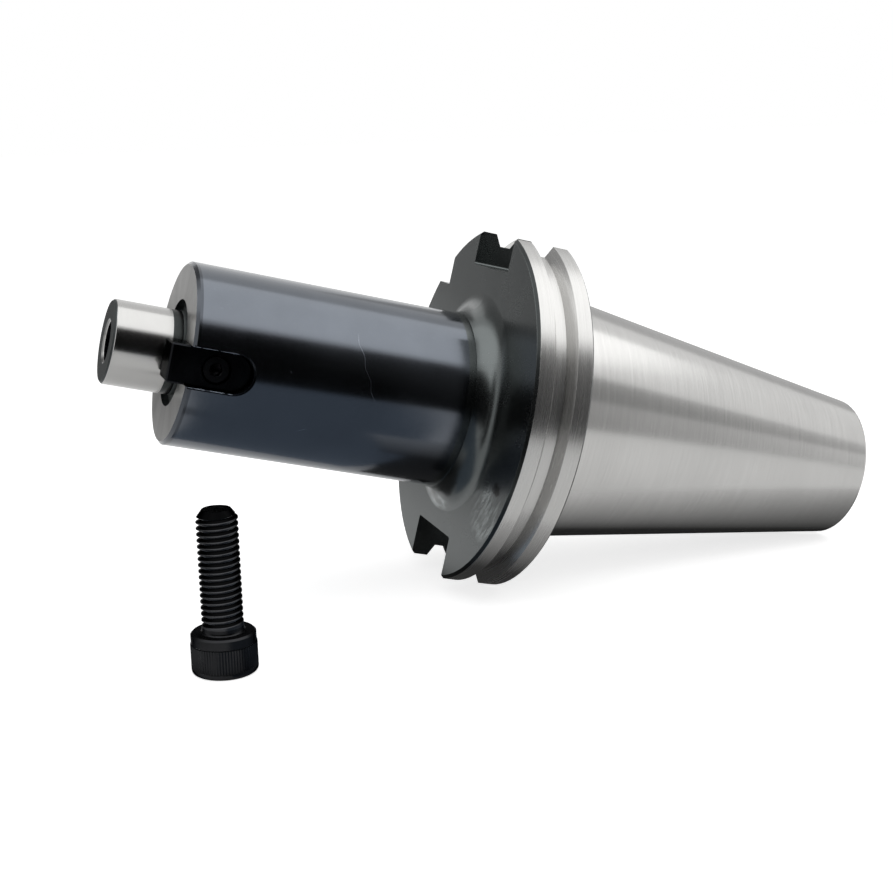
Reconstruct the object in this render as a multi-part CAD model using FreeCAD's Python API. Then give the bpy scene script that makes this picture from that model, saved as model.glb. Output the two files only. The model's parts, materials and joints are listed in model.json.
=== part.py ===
import FreeCAD, Part
import math
import os

# A shell mill arbor with a size 50 steep taper, lying at rest on a flat surface, with its
# cutter screw standing on its head beside it. All lengths are in millimetres.
#
# Each piece is drawn about the arbor's own axis: +Z towards the nose, Z = 0 at the gauge plane,
# +X through the middle of the shallow driving keyway, and the drive keys at -Y and +Y.
# The last section then lays the arbor down as it rests, where +Z is up.

# Steep taper shank
gauge_diameter = 69.85
taper_length = 101.75
taper_rate = 7.0 / 24.0
small_end_round = 1.2
shank_neck_depth = 0.6
shank_neck_start = 1.0

# Drawbar hole in the small end
drawbar_pilot_diameter = 25.0
drawbar_pilot_depth = 11.5
drawbar_tap_diameter = 21.0
drawbar_tap_depth = 61.5
drawbar_mouth_chamfer = 1.0

# Gripper flange
flange_diameter = 97.5
flange_rear_gap = 3.2
flange_thickness = 15.9
flange_rear_chamfer = 0.5
flange_front_chamfer = 0.8
groove_centre = 11.1
groove_bottom_diameter = 91.25
groove_bottom_width = 2.9
groove_flank_angle = 30.0
keyway_width = 25.7
keyway_shallow_floor = 37.7
keyway_deep_floor = 35.5
keyway_corner_round = 0.8
notch_floor = 30.0
notch_wall = 29.5

# Body between the flange and the cutter's seat
seat_from_gauge = 100.0
body_diameter = 48.0
body_root_fillet = 6.0
body_root_step = 0.4
seat_chamfer = 0.8

# Pilot that the cutter's bore slides on
pilot_diameter = 22.0
pilot_length = 17.5
pilot_chamfer = 0.6
relief_diameter = 28.0
relief_depth = 2.0

# Cutter screw and its hole in the pilot
cutter_thread_diameter = 10.0
cutter_tap_diameter = 8.5
cutter_tap_depth = 30.0
cutter_recess_diameter = 10.5
cutter_recess_depth = 4.0
cutter_mouth_chamfer = 0.6
cutter_screw_length = 30.0
cutter_head_diameter = 16.0
cutter_head_height = 10.0
cutter_head_chamfer = 0.8
cutter_bearing_chamfer = 0.5
cutter_socket_width = 8.0
cutter_socket_depth = 5.0
cutter_tip_chamfer = 1.2
cutter_neck_round = 0.6
screw_stand_ahead = 97.0
screw_stand_aside = 49.0

# Drive keys in the seat
key_width = 10.0
key_height = 9.0
key_inner_reach = 11.7
key_protrusion = 4.7
key_edge_chamfer = 0.4
slot_length = 16.4
slot_clearance = 0.05
slot_mouth_chamfer = 0.4

# Key screws
key_screw_from_seat = 7.3
key_thread_diameter = 4.0
key_screw_length = 10.0
key_head_diameter = 7.0
key_head_height = 4.0
key_head_chamfer = 0.3
key_socket_width = 3.0
key_socket_depth = 2.0
key_head_recess = 0.5
key_bore_clearance = 0.3
thread_clearance = 0.05
key_tip_chamfer = 0.4
key_tap_past_tip = 0.8
key_neck_round = 0.2

# Chamfer round a hexagon socket's mouth, as a share of the socket's width
socket_mouth_share = 0.08

# Drill points and the reach of cutting tools past a surface
drill_point_angle = 118.0
overcut = 5.0

# Sizes that follow from the ones above
gauge_radius = gauge_diameter / 2
taper_half_angle = math.atan(taper_rate / 2)
end_round_centre_radius = (gauge_radius - (taper_length - small_end_round) * taper_rate / 2
                           - small_end_round / math.cos(taper_half_angle))
flange_radius = flange_diameter / 2
flange_front = flange_rear_gap + flange_thickness
groove_bottom_radius = groove_bottom_diameter / 2
groove_flank_run = (flange_radius - groove_bottom_radius) * math.tan(math.radians(groove_flank_angle))
groove_top_half = groove_bottom_width / 2 + groove_flank_run
body_radius = body_diameter / 2
body_root_radius = body_radius + body_root_step
pilot_radius = pilot_diameter / 2
pilot_tip = seat_from_gauge + pilot_length
slot_width = key_width + 2 * slot_clearance
slot_end = seat_from_gauge - slot_length
key_outer_reach = key_inner_reach + key_height
key_screw_level = seat_from_gauge - key_screw_from_seat
key_head_seat = key_outer_reach - key_head_recess - key_head_height
key_screw_tip = key_head_seat - key_screw_length


def revolve(points_and_edges):
    """Turn a closed profile, given as edges in the XZ plane, once about the Z axis."""
    face = Part.Face(Part.Wire(points_and_edges))
    return face.revolve(FreeCAD.Vector(0, 0, 0), FreeCAD.Vector(0, 0, 1), 360)


def at(radius, level):
    """Give the point of a turned profile at one radius and one level."""
    return FreeCAD.Vector(radius, 0, level)


def polyline(points):
    """Join points of a profile with straight edges."""
    return [Part.LineSegment(a, b).toShape() for a, b in zip(points, points[1:])]


def short_arc(start, centre, end):
    """Join two points with the shorter arc about a centre."""
    radius = start.sub(centre).Length
    middle = start.sub(centre).add(end.sub(centre))
    middle.normalize()
    middle.multiply(radius)
    return Part.Arc(start, centre.add(middle), end).toShape()


def drilled_hole(radius, depth, mouth_level, direction):
    """Make the cutter for a blind hole with a drill point, running from its mouth along +-Z."""
    point = radius / math.tan(math.radians(drill_point_angle / 2))
    profile = polyline([
        at(0, mouth_level - direction * overcut),
        at(radius, mouth_level - direction * overcut),
        at(radius, mouth_level + direction * depth),
        at(0, mouth_level + direction * (depth + point)),
        at(0, mouth_level - direction * overcut),
    ])
    return revolve(profile)


def mouth_chamfer(radius, width, mouth_level, direction):
    """Make the cutter for a 45 degree chamfer round the mouth of a hole along +-Z."""
    profile = polyline([
        at(0, mouth_level - direction * width),
        at(radius + 2 * width, mouth_level - direction * width),
        at(0, mouth_level + direction * (radius + width)),
        at(0, mouth_level - direction * width),
    ])
    return revolve(profile)


def hexagon_socket(width, depth, top_level):
    """Make the cutter for a hexagon socket, with its pilot hole's drill point, down along -Z."""
    corner = width / 2 / math.cos(math.radians(30))
    corners = []
    for step in range(6):
        angle = math.radians(60 * step)
        corners.append(FreeCAD.Vector(corner * math.cos(angle), corner * math.sin(angle), top_level - depth))
    prism = Part.Face(Part.makePolygon(corners + corners[:1])).extrude(FreeCAD.Vector(0, 0, depth + overcut))
    point = width / 2 / math.tan(math.radians(drill_point_angle / 2))
    cone = Part.makeCone(0, width / 2, point, FreeCAD.Vector(0, 0, top_level - depth - point))
    return prism.fuse(cone)


def socket_screw(thread_diameter, length, head_diameter, head_height, socket_width, socket_depth,
                 head_chamfer, bearing_chamfer, tip_chamfer, neck_round):
    """Make a socket head cap screw: thread down from Z = 0, head up from Z = 0, thread left plain."""
    thread_radius = thread_diameter / 2
    head_radius = head_diameter / 2
    neck_top = at(thread_radius + neck_round, 0)
    neck_side = at(thread_radius, -neck_round)
    neck_centre = at(thread_radius + neck_round, -neck_round)
    edges = polyline([
        at(0, head_height),
        at(head_radius - head_chamfer, head_height),
        at(head_radius, head_height - head_chamfer),
        at(head_radius, bearing_chamfer),
        at(head_radius - bearing_chamfer, 0),
        neck_top,
    ])
    edges.append(short_arc(neck_top, neck_centre, neck_side))
    edges += polyline([
        neck_side,
        at(thread_radius, -length + tip_chamfer),
        at(thread_radius - tip_chamfer, -length),
        at(0, -length),
        at(0, head_height),
    ])
    solid = revolve(edges)
    solid = solid.cut(hexagon_socket(socket_width, socket_depth, head_height))
    mouth = mouth_chamfer(socket_width / 2, socket_width * socket_mouth_share, head_height, -1)
    return solid.cut(mouth)


# Turned form of the arbor, from the small end to the nose
def turned_blank():
    """Turn the shank, flange, body and pilot as one solid, with no holes."""
    rate = taper_rate / 2
    end_centre = at(end_round_centre_radius, -taper_length + small_end_round)
    end_start = at(end_round_centre_radius, -taper_length)
    end_stop = at(end_round_centre_radius + small_end_round * math.cos(taper_half_angle),
                  -taper_length + small_end_round * (1 - math.sin(taper_half_angle)))
    neck_radius = gauge_radius - shank_neck_depth
    cone_top = at(gauge_radius + shank_neck_start * rate, shank_neck_start)
    fillet_start = at(body_root_radius + body_root_fillet, flange_front)
    fillet_centre = at(body_root_radius + body_root_fillet, flange_front + body_root_fillet)
    fillet_stop = at(body_root_radius, flange_front + body_root_fillet)
    edges = [Part.LineSegment(at(0, -taper_length), end_start).toShape()]
    edges.append(short_arc(end_start, end_centre, end_stop))
    edges += polyline([
        end_stop,
        cone_top,
        at(neck_radius, shank_neck_start + shank_neck_depth),
        at(neck_radius, flange_rear_gap),
        at(flange_radius - flange_rear_chamfer, flange_rear_gap),
        at(flange_radius, flange_rear_gap + flange_rear_chamfer),
        at(flange_radius, groove_centre - groove_top_half),
        at(groove_bottom_radius, groove_centre - groove_bottom_width / 2),
        at(groove_bottom_radius, groove_centre + groove_bottom_width / 2),
        at(flange_radius, groove_centre + groove_top_half),
        at(flange_radius, flange_front - flange_front_chamfer),
        at(flange_radius - flange_front_chamfer, flange_front),
        fillet_start,
    ])
    edges.append(short_arc(fillet_start, fillet_centre, fillet_stop))
    edges += polyline([
        fillet_stop,
        at(body_radius, flange_front + body_root_fillet),
        at(body_radius, seat_from_gauge - seat_chamfer),
        at(body_radius - seat_chamfer, seat_from_gauge),
        at(relief_diameter / 2, seat_from_gauge),
        at(relief_diameter / 2, seat_from_gauge - relief_depth),
        at(pilot_radius, seat_from_gauge - relief_depth),
        at(pilot_radius, pilot_tip - pilot_chamfer),
        at(pilot_radius - pilot_chamfer, pilot_tip),
        at(0, pilot_tip),
        at(0, -taper_length),
    ])
    return revolve(edges)


# Milled keyways and notch of the flange
def keyway_cutter(floor, side):
    """Make the cutter for one driving keyway, with its floor square to X on the side given."""
    half = keyway_width / 2
    outer = flange_radius + overcut
    turn = keyway_corner_round
    low = -overcut
    corners = [
        FreeCAD.Vector(side * outer, -half, low),
        FreeCAD.Vector(side * (floor + turn), -half, low),
        FreeCAD.Vector(side * floor, -half + turn, low),
        FreeCAD.Vector(side * floor, half - turn, low),
        FreeCAD.Vector(side * (floor + turn), half, low),
        FreeCAD.Vector(side * outer, half, low),
    ]
    slope = turn * (1 - math.sqrt(0.5))
    first_middle = FreeCAD.Vector(side * (floor + slope), -half + slope, low)
    last_middle = FreeCAD.Vector(side * (floor + slope), half - slope, low)
    wire = Part.Wire([
        Part.LineSegment(corners[0], corners[1]).toShape(),
        Part.Arc(corners[1], first_middle, corners[2]).toShape(),
        Part.LineSegment(corners[2], corners[3]).toShape(),
        Part.Arc(corners[3], last_middle, corners[4]).toShape(),
        Part.LineSegment(corners[4], corners[5]).toShape(),
        Part.LineSegment(corners[5], corners[0]).toShape(),
    ])
    return Part.Face(wire).extrude(FreeCAD.Vector(0, 0, flange_front + 2 * overcut))


def shank_guard():
    """Give the shank's space behind the flange, which the flange's cutters must leave alone."""
    return Part.makeCylinder(gauge_radius, flange_rear_gap + overcut, FreeCAD.Vector(0, 0, -overcut))


def notch_cutter():
    """Make the cutter for the orientation notch, square in the flange's rim."""
    reach = flange_radius + overcut
    return Part.makeBox(reach - notch_floor, reach - notch_wall, flange_thickness + overcut,
                        FreeCAD.Vector(notch_floor, notch_wall, flange_rear_gap))


# Slot of a drive key and what goes in it, all drawn with the key towards +X
def slot_outline(half_width, start_level, end_level, round_radius, reach):
    """Draw the face of a slot or key seen along X: square at the nose, round at its other end."""
    centre = end_level + round_radius
    top_left = FreeCAD.Vector(reach, -half_width, start_level)
    low_left = FreeCAD.Vector(reach, -half_width, centre)
    bottom = FreeCAD.Vector(reach, 0, end_level)
    low_right = FreeCAD.Vector(reach, half_width, centre)
    top_right = FreeCAD.Vector(reach, half_width, start_level)
    return Part.Face(Part.Wire([
        Part.LineSegment(top_left, low_left).toShape(),
        Part.Arc(low_left, bottom, low_right).toShape(),
        Part.LineSegment(low_right, top_right).toShape(),
        Part.LineSegment(top_right, top_left).toShape(),
    ]))


def slot_cutter():
    """Make the cutter for one key slot, open at the seat and round at its inner end."""
    half = slot_width / 2
    outline = slot_outline(half, seat_from_gauge + overcut, slot_end, half, key_inner_reach)
    return outline.extrude(FreeCAD.Vector(body_radius, 0, 0))


def slot_edge_cutter():
    """Make the cutter that breaks the slot's edges where it meets the ground body."""
    half = slot_width / 2 + slot_mouth_chamfer
    start = math.sqrt(body_radius ** 2 - half ** 2) - slot_mouth_chamfer
    outline = slot_outline(half, seat_from_gauge + overcut, slot_end - slot_mouth_chamfer, half, start)
    return outline.extrude(FreeCAD.Vector(body_radius, 0, 0))


def key_screw_hole():
    """Make the cutter for the tapped hole under a drive key, running in from the side."""
    radius = key_thread_diameter / 2 + thread_clearance
    end = key_screw_tip - key_tap_past_tip
    return Part.makeCylinder(radius, body_radius - end, FreeCAD.Vector(end, 0, key_screw_level),
                             FreeCAD.Vector(1, 0, 0))


def drive_key():
    """Make one drive key: a block with one round end, chamfered round its outer face."""
    half = key_width / 2
    tip = seat_from_gauge + key_protrusion
    end = slot_end + slot_clearance
    solid = slot_outline(half, tip, end, half, key_inner_reach).extrude(FreeCAD.Vector(key_height, 0, 0))
    rim = [edge for edge in solid.Edges
           if min(vertex.X for vertex in edge.Vertexes) > key_outer_reach - key_edge_chamfer]
    front = [edge for edge in solid.Edges
             if min(vertex.Z for vertex in edge.Vertexes) > tip - key_edge_chamfer
             and max(vertex.X for vertex in edge.Vertexes) - min(vertex.X for vertex in edge.Vertexes)
             > key_edge_chamfer]
    solid = solid.makeChamfer(key_edge_chamfer, rim + front)
    along = FreeCAD.Vector(1, 0, 0)
    through = Part.makeCylinder(key_thread_diameter / 2 + key_bore_clearance, key_height + 2 * overcut,
                                FreeCAD.Vector(key_inner_reach - overcut, 0, key_screw_level), along)
    recess = Part.makeCylinder(key_head_diameter / 2 + key_bore_clearance, key_height,
                               FreeCAD.Vector(key_head_seat, 0, key_screw_level), along)
    return solid.cut(through).cut(recess)


def key_screw():
    """Make one key screw where it holds its key, with its head outward along +X."""
    solid = socket_screw(key_thread_diameter, key_screw_length, key_head_diameter, key_head_height,
                         key_socket_width, key_socket_depth, key_head_chamfer, key_head_chamfer,
                         key_tip_chamfer, key_neck_round)
    solid.rotate(FreeCAD.Vector(0, 0, 0), FreeCAD.Vector(0, 1, 0), 90)
    solid.translate(FreeCAD.Vector(key_head_seat, 0, key_screw_level))
    return solid


def turned_to_side(shape, angle):
    """Turn a copy of a shape about the arbor's axis, from +X to its own side."""
    copy = shape.copy()
    copy.rotate(FreeCAD.Vector(0, 0, 0), FreeCAD.Vector(0, 0, 1), angle)
    return copy


def arbor_body(key_angles):
    """Cut every hole, slot, keyway and notch into the turned blank."""
    solid = turned_blank()
    flange_cuts = keyway_cutter(keyway_shallow_floor, 1)
    flange_cuts = flange_cuts.fuse(keyway_cutter(keyway_deep_floor, -1))
    flange_cuts = flange_cuts.fuse(notch_cutter())
    solid = solid.cut(flange_cuts.cut(shank_guard()))
    for angle in key_angles:
        solid = solid.cut(turned_to_side(slot_cutter(), angle))
        solid = solid.cut(turned_to_side(slot_edge_cutter(), angle))
        solid = solid.cut(turned_to_side(key_screw_hole(), angle))
    solid = solid.cut(drilled_hole(cutter_tap_diameter / 2, cutter_tap_depth, pilot_tip, -1))
    solid = solid.cut(Part.makeCylinder(cutter_recess_diameter / 2, cutter_recess_depth + overcut,
                                        FreeCAD.Vector(0, 0, pilot_tip - cutter_recess_depth)))
    solid = solid.cut(mouth_chamfer(cutter_recess_diameter / 2, cutter_mouth_chamfer, pilot_tip, -1))
    solid = solid.cut(drilled_hole(drawbar_tap_diameter / 2, drawbar_tap_depth, -taper_length, 1))
    solid = solid.cut(Part.makeCylinder(drawbar_pilot_diameter / 2, drawbar_pilot_depth + overcut,
                                        FreeCAD.Vector(0, 0, -taper_length - overcut)))
    return solid.cut(mouth_chamfer(drawbar_pilot_diameter / 2, drawbar_mouth_chamfer, -taper_length, 1))


def cutter_screw():
    """Make the cutter screw standing on its head, with its tip up and its head on Z = 0."""
    solid = socket_screw(cutter_thread_diameter, cutter_screw_length, cutter_head_diameter,
                         cutter_head_height, cutter_socket_width, cutter_socket_depth,
                         cutter_head_chamfer, cutter_bearing_chamfer, cutter_tip_chamfer,
                         cutter_neck_round)
    solid.rotate(FreeCAD.Vector(0, 0, 0), FreeCAD.Vector(1, 0, 0), 180)
    solid.translate(FreeCAD.Vector(0, 0, cutter_head_height))
    return solid


# Rest on the surface: the arbor lies on two corners of the deep keyway at the flange's rear edge
# and on the round of the taper's small end, so its nose points up by the tilt
rest_level = flange_rear_gap + flange_rear_chamfer
rest_drop = math.sqrt(flange_radius ** 2 - (keyway_width / 2) ** 2)
rest_rise = rest_drop - end_round_centre_radius
rest_run = rest_level + taper_length - small_end_round
tilt = math.degrees(math.acos(small_end_round / math.hypot(rest_rise, rest_run))
                    - math.atan2(rest_run, rest_rise))
axis_height = rest_drop * math.cos(math.radians(tilt)) - rest_level * math.sin(math.radians(tilt))

key_sides = {"near": -90, "far": 90}
pieces = {"arbor_body": arbor_body(key_sides.values())}
for side, side_angle in key_sides.items():
    pieces["drive_key_" + side] = turned_to_side(drive_key(), side_angle)
    pieces["key_screw_" + side] = turned_to_side(key_screw(), side_angle)
for piece in pieces.values():
    piece.rotate(FreeCAD.Vector(0, 0, 0), FreeCAD.Vector(0, 1, 0), tilt - 90)
    piece.translate(FreeCAD.Vector(0, 0, axis_height))
pieces["cutter_screw"] = cutter_screw()
pieces["cutter_screw"].translate(FreeCAD.Vector(-screw_stand_ahead, -screw_stand_aside, 0))

# The origin is under the middle of the whole set
box = Part.makeCompound(list(pieces.values())).optimalBoundingBox(False, False)
centring = FreeCAD.Vector(-box.Center.x, -box.Center.y, -box.ZMin)
os.makedirs("parts", exist_ok=True)
for name, piece in pieces.items():
    piece.translate(centring)
    piece.exportStep("parts/" + name + ".step")
print("tilt %.3f, gauge centre at %.3f %.3f %.3f"
      % (tilt, centring.x, centring.y, axis_height + centring.z))
for name, piece in pieces.items():
    print("%s: %d solid, valid %s, %.1f mm3" % (name, len(piece.Solids), piece.isValid(), piece.Volume))
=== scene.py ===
import json
import logging
import math
from dataclasses import dataclass, field
from enum import Enum
from typing import Optional, Sequence, Union

import bpy
from mathutils import Euler, Matrix, Vector

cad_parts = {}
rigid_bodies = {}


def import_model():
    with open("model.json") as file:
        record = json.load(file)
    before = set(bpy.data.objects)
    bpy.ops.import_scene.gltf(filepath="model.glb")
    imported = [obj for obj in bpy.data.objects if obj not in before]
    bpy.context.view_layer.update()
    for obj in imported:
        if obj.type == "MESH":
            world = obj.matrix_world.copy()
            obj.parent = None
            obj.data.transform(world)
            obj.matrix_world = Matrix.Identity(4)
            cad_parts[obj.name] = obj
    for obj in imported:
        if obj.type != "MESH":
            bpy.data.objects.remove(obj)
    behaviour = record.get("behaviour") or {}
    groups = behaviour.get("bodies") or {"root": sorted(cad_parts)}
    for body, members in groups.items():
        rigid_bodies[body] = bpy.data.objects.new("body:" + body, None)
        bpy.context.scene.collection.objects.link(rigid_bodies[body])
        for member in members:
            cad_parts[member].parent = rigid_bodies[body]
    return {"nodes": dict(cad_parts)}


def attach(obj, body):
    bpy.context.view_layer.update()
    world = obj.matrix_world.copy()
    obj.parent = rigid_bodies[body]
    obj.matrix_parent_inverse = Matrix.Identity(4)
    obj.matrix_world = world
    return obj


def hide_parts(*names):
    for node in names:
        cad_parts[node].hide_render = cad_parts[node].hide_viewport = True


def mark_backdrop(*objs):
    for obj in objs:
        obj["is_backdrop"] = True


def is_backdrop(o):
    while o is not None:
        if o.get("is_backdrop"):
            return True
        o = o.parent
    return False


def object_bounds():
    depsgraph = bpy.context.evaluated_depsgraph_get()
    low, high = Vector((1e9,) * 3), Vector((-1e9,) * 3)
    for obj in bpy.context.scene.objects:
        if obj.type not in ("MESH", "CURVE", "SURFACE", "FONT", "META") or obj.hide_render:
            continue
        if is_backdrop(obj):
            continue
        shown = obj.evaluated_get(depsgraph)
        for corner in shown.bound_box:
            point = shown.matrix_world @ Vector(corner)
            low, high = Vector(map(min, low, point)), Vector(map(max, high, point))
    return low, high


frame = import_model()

logging.basicConfig(level=logging.INFO, format="%(message)s")
log = logging.getLogger("arbor")

BODY = "root"
MM = 0.001
MERGE_MM = 0.0005
SLIVER_MM = 0.003
NOISE_MIDDLE = 0.5
FLAG_Z = 0.0008

Socket = bpy.types.NodeSocket
Piece = bpy.types.Object
Colour = tuple[float, float, float]
Point = tuple[float, float]
Point3 = tuple[float, float, float]

BLACK: Colour = (0.0, 0.0, 0.0)
WHITE: Colour = (1.0, 1.0, 1.0)


class Field:
    """A number that varies over a surface: a socket that takes part in expressions."""

    def __init__(self, nodes: "NodeMaker", socket: Socket) -> None:
        """Wrap the output that carries the number, with the maker that adds further nodes."""
        self.nodes = nodes
        self.socket = socket

    def math(self, operation: str, first: "Value", second: "Value" = 0.0) -> "Field":
        """Add a Math node and return its result."""
        return self.nodes.field("ShaderNodeMath", {"operation": operation}, {0: first, 1: second})

    def __add__(self, other: "Value") -> "Field":
        """Return self + other."""
        return self.math("ADD", self, other)

    def __radd__(self, other: "Value") -> "Field":
        """Return other + self."""
        return self.math("ADD", other, self)

    def __sub__(self, other: "Value") -> "Field":
        """Return self - other."""
        return self.math("SUBTRACT", self, other)

    def __rsub__(self, other: "Value") -> "Field":
        """Return other - self."""
        return self.math("SUBTRACT", other, self)

    def __mul__(self, other: "Value") -> "Field":
        """Return self * other."""
        return self.math("MULTIPLY", self, other)

    def __rmul__(self, other: "Value") -> "Field":
        """Return other * self."""
        return self.math("MULTIPLY", other, self)

    def __truediv__(self, other: "Value") -> "Field":
        """Return self / other."""
        return self.math("DIVIDE", self, other)

    def __pow__(self, other: "Value") -> "Field":
        """Return self ** other."""
        return self.math("POWER", self, other)

    def __abs__(self) -> "Field":
        """Return the size of self without its sign."""
        return self.math("ABSOLUTE", self)

    def __or__(self, other: "Value") -> "Field":
        """Return the larger of two masks."""
        return self.math("MAXIMUM", self, other)

    def sine(self) -> "Field":
        """Return the sine of self, in radians."""
        return self.math("SINE", self)

    def swing(self) -> "Field":
        """Return how far a noise lies from its middle."""
        return self - NOISE_MIDDLE

    def above(self, edge: float, soft: float = 0.06) -> "Field":
        """Give a mask that goes from 0 to 1 over a soft width round an edge."""
        inputs = {0: self, 1: edge - soft / 2, 2: edge + soft / 2, 3: 0.0, 4: 1.0}
        return self.nodes.field("ShaderNodeMapRange", {"clamp": True}, inputs)

    def below(self, edge: float, soft: float = 0.06) -> "Field":
        """Give a mask that is 1 where the number is below an edge."""
        return 1 - self.above(edge, soft)

    def between(self, low: float, high: float, soft: float = 0.06) -> "Field":
        """Give a mask that is 1 where the number lies between two edges."""
        return self.above(low, soft) * self.below(high, soft)


Value = Union[Field, float]


class NodeMaker:
    """Adds nodes to one material or world."""

    def __init__(self, tree: bpy.types.NodeTree) -> None:
        """Start from an empty tree."""
        self.tree = tree
        tree.nodes.clear()

    def node(self, kind: str, settings: dict, inputs: dict) -> bpy.types.Node:
        """Add one node.

        Args:
            kind: The node's type.
            settings: Its properties, set before its sockets.
            inputs: What its sockets take, by name or number: a value, a field or a socket.

        Returns:
            The node.
        """
        made = self.tree.nodes.new(kind)
        for name, value in settings.items():
            setattr(made, name, value)
        for key, value in inputs.items():
            if isinstance(value, Field):
                value = value.socket
            if isinstance(value, Socket):
                self.tree.links.new(value, made.inputs[key])
            else:
                made.inputs[key].default_value = value
        return made

    def field(self, kind: str, settings: dict, inputs: dict) -> Field:
        """Add a node and return its first output as a field."""
        return Field(self, self.node(kind, settings, inputs).outputs[0])

    def place(self) -> Socket:
        """Read Object coordinates, in metres."""
        return self.node("ShaderNodeTexCoord", {}, {}).outputs["Object"]

    def split(self, vector: Socket) -> list[Field]:
        """Split a vector into its three numbers."""
        parts = self.node("ShaderNodeSeparateXYZ", {}, {0: vector})
        return [Field(self, part) for part in parts.outputs]

    def vector(self, x: Value, y: Value, z: Value) -> Socket:
        """Join three numbers into a vector."""
        return self.node("ShaderNodeCombineXYZ", {}, {0: x, 1: y, 2: z}).outputs[0]

    def mix(self, factor: Value, first: object, second: object) -> Socket:
        """Mix two colours, or colours' sockets: 0 gives the first and 1 the second."""
        inputs = {0: factor, 6: first, 7: second}
        return self.node("ShaderNodeMix", {"data_type": "RGBA"}, inputs).outputs[2]

    def noise(self, vector: Socket, scale: float, detail: float, rough: float) -> Field:
        """Add a noise texture that runs from about 0.2 to 0.8."""
        inputs = {"Vector": vector, "Scale": scale, "Detail": detail, "Roughness": rough}
        return self.field("ShaderNodeTexNoise", {"noise_dimensions": "3D"}, inputs)

    def bump(self, height: Field, distance: float) -> Socket:
        """Turn a height field into a bumped normal, its distance in metres."""
        inputs = {"Height": height, "Distance": distance, "Strength": 1.0}
        return self.node("ShaderNodeBump", {}, inputs).outputs[0]

    def emission(self, colour: Socket) -> Socket:
        """Add an emission shader at which a colour renders as it is written."""
        return self.node("ShaderNodeEmission", {}, {"Color": colour, "Strength": 1.0}).outputs[0]

    def show(self, shader: Socket, kind: str = "ShaderNodeOutputMaterial") -> None:
        """Send a shader to the tree's output."""
        self.node(kind, {}, {"Surface": shader})


def new_material(name: str) -> tuple[bpy.types.Material, NodeMaker]:
    """Start a material.

    Args:
        name: Its name.

    Returns:
        The material and the maker of its nodes.
    """
    material = bpy.data.materials.new(name)
    material.use_nodes = True
    return material, NodeMaker(material.node_tree)


def opaque(colour: Colour, share: float = 1.0) -> tuple[float, float, float, float]:
    """Give a colour, or a share of its brightness, as a colour socket takes it."""
    red, green, blue = colour
    return red * share, green * share, blue * share, 1.0


@dataclass(frozen=True)
class ArborAxes:
    """The arbor's own axes as it lies: +Z from the gauge plane to the nose, +X to the shallow keyway.

    Lengths in these axes are in millimetres.
    """

    gauge_centre: Vector = field(default_factory=lambda: Vector((6.535, 4.125, 44.632)) * MM)
    tilt: float = math.radians(14.385)

    @property
    def turn(self) -> Euler:
        """The turn from the arbor's axes to the resting frame."""
        return Euler((0.0, self.tilt - math.pi / 2, 0.0))


@dataclass(frozen=True)
class ArborCoordinates:
    """A surface point in the arbor's axes, as fields in millimetres, with its radius from the axis."""

    nodes: NodeMaker
    x: Field
    y: Field
    z: Field
    r: Field

    @classmethod
    def read(cls, nodes: NodeMaker, axes: ArborAxes) -> "ArborCoordinates":
        """Work the coordinates out from Object coordinates.

        Args:
            nodes: The material's node maker.
            axes: Where the arbor lies.

        Returns:
            The coordinates.
        """
        mapping = nodes.node("ShaderNodeMapping", {"vector_type": "TEXTURE"}, {
            "Vector": nodes.place(),
            "Location": tuple(axes.gauge_centre),
            "Rotation": tuple(axes.turn),
            "Scale": (MM, MM, MM),
        })
        x, y, z = nodes.split(mapping.outputs[0])
        return cls(nodes, x, y, z, (x * x + y * y) ** 0.5)


@dataclass(frozen=True)
class Zones:
    """Masks of the arbor's surfaces. Satin is where the black oxide is the flange face's."""

    ground: Field
    rims: Field
    edge: Field
    face: Field
    band: Field
    seat: Field
    recess: Field
    neck: Field
    pilot: Field
    end: Field
    satin: Field


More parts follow.
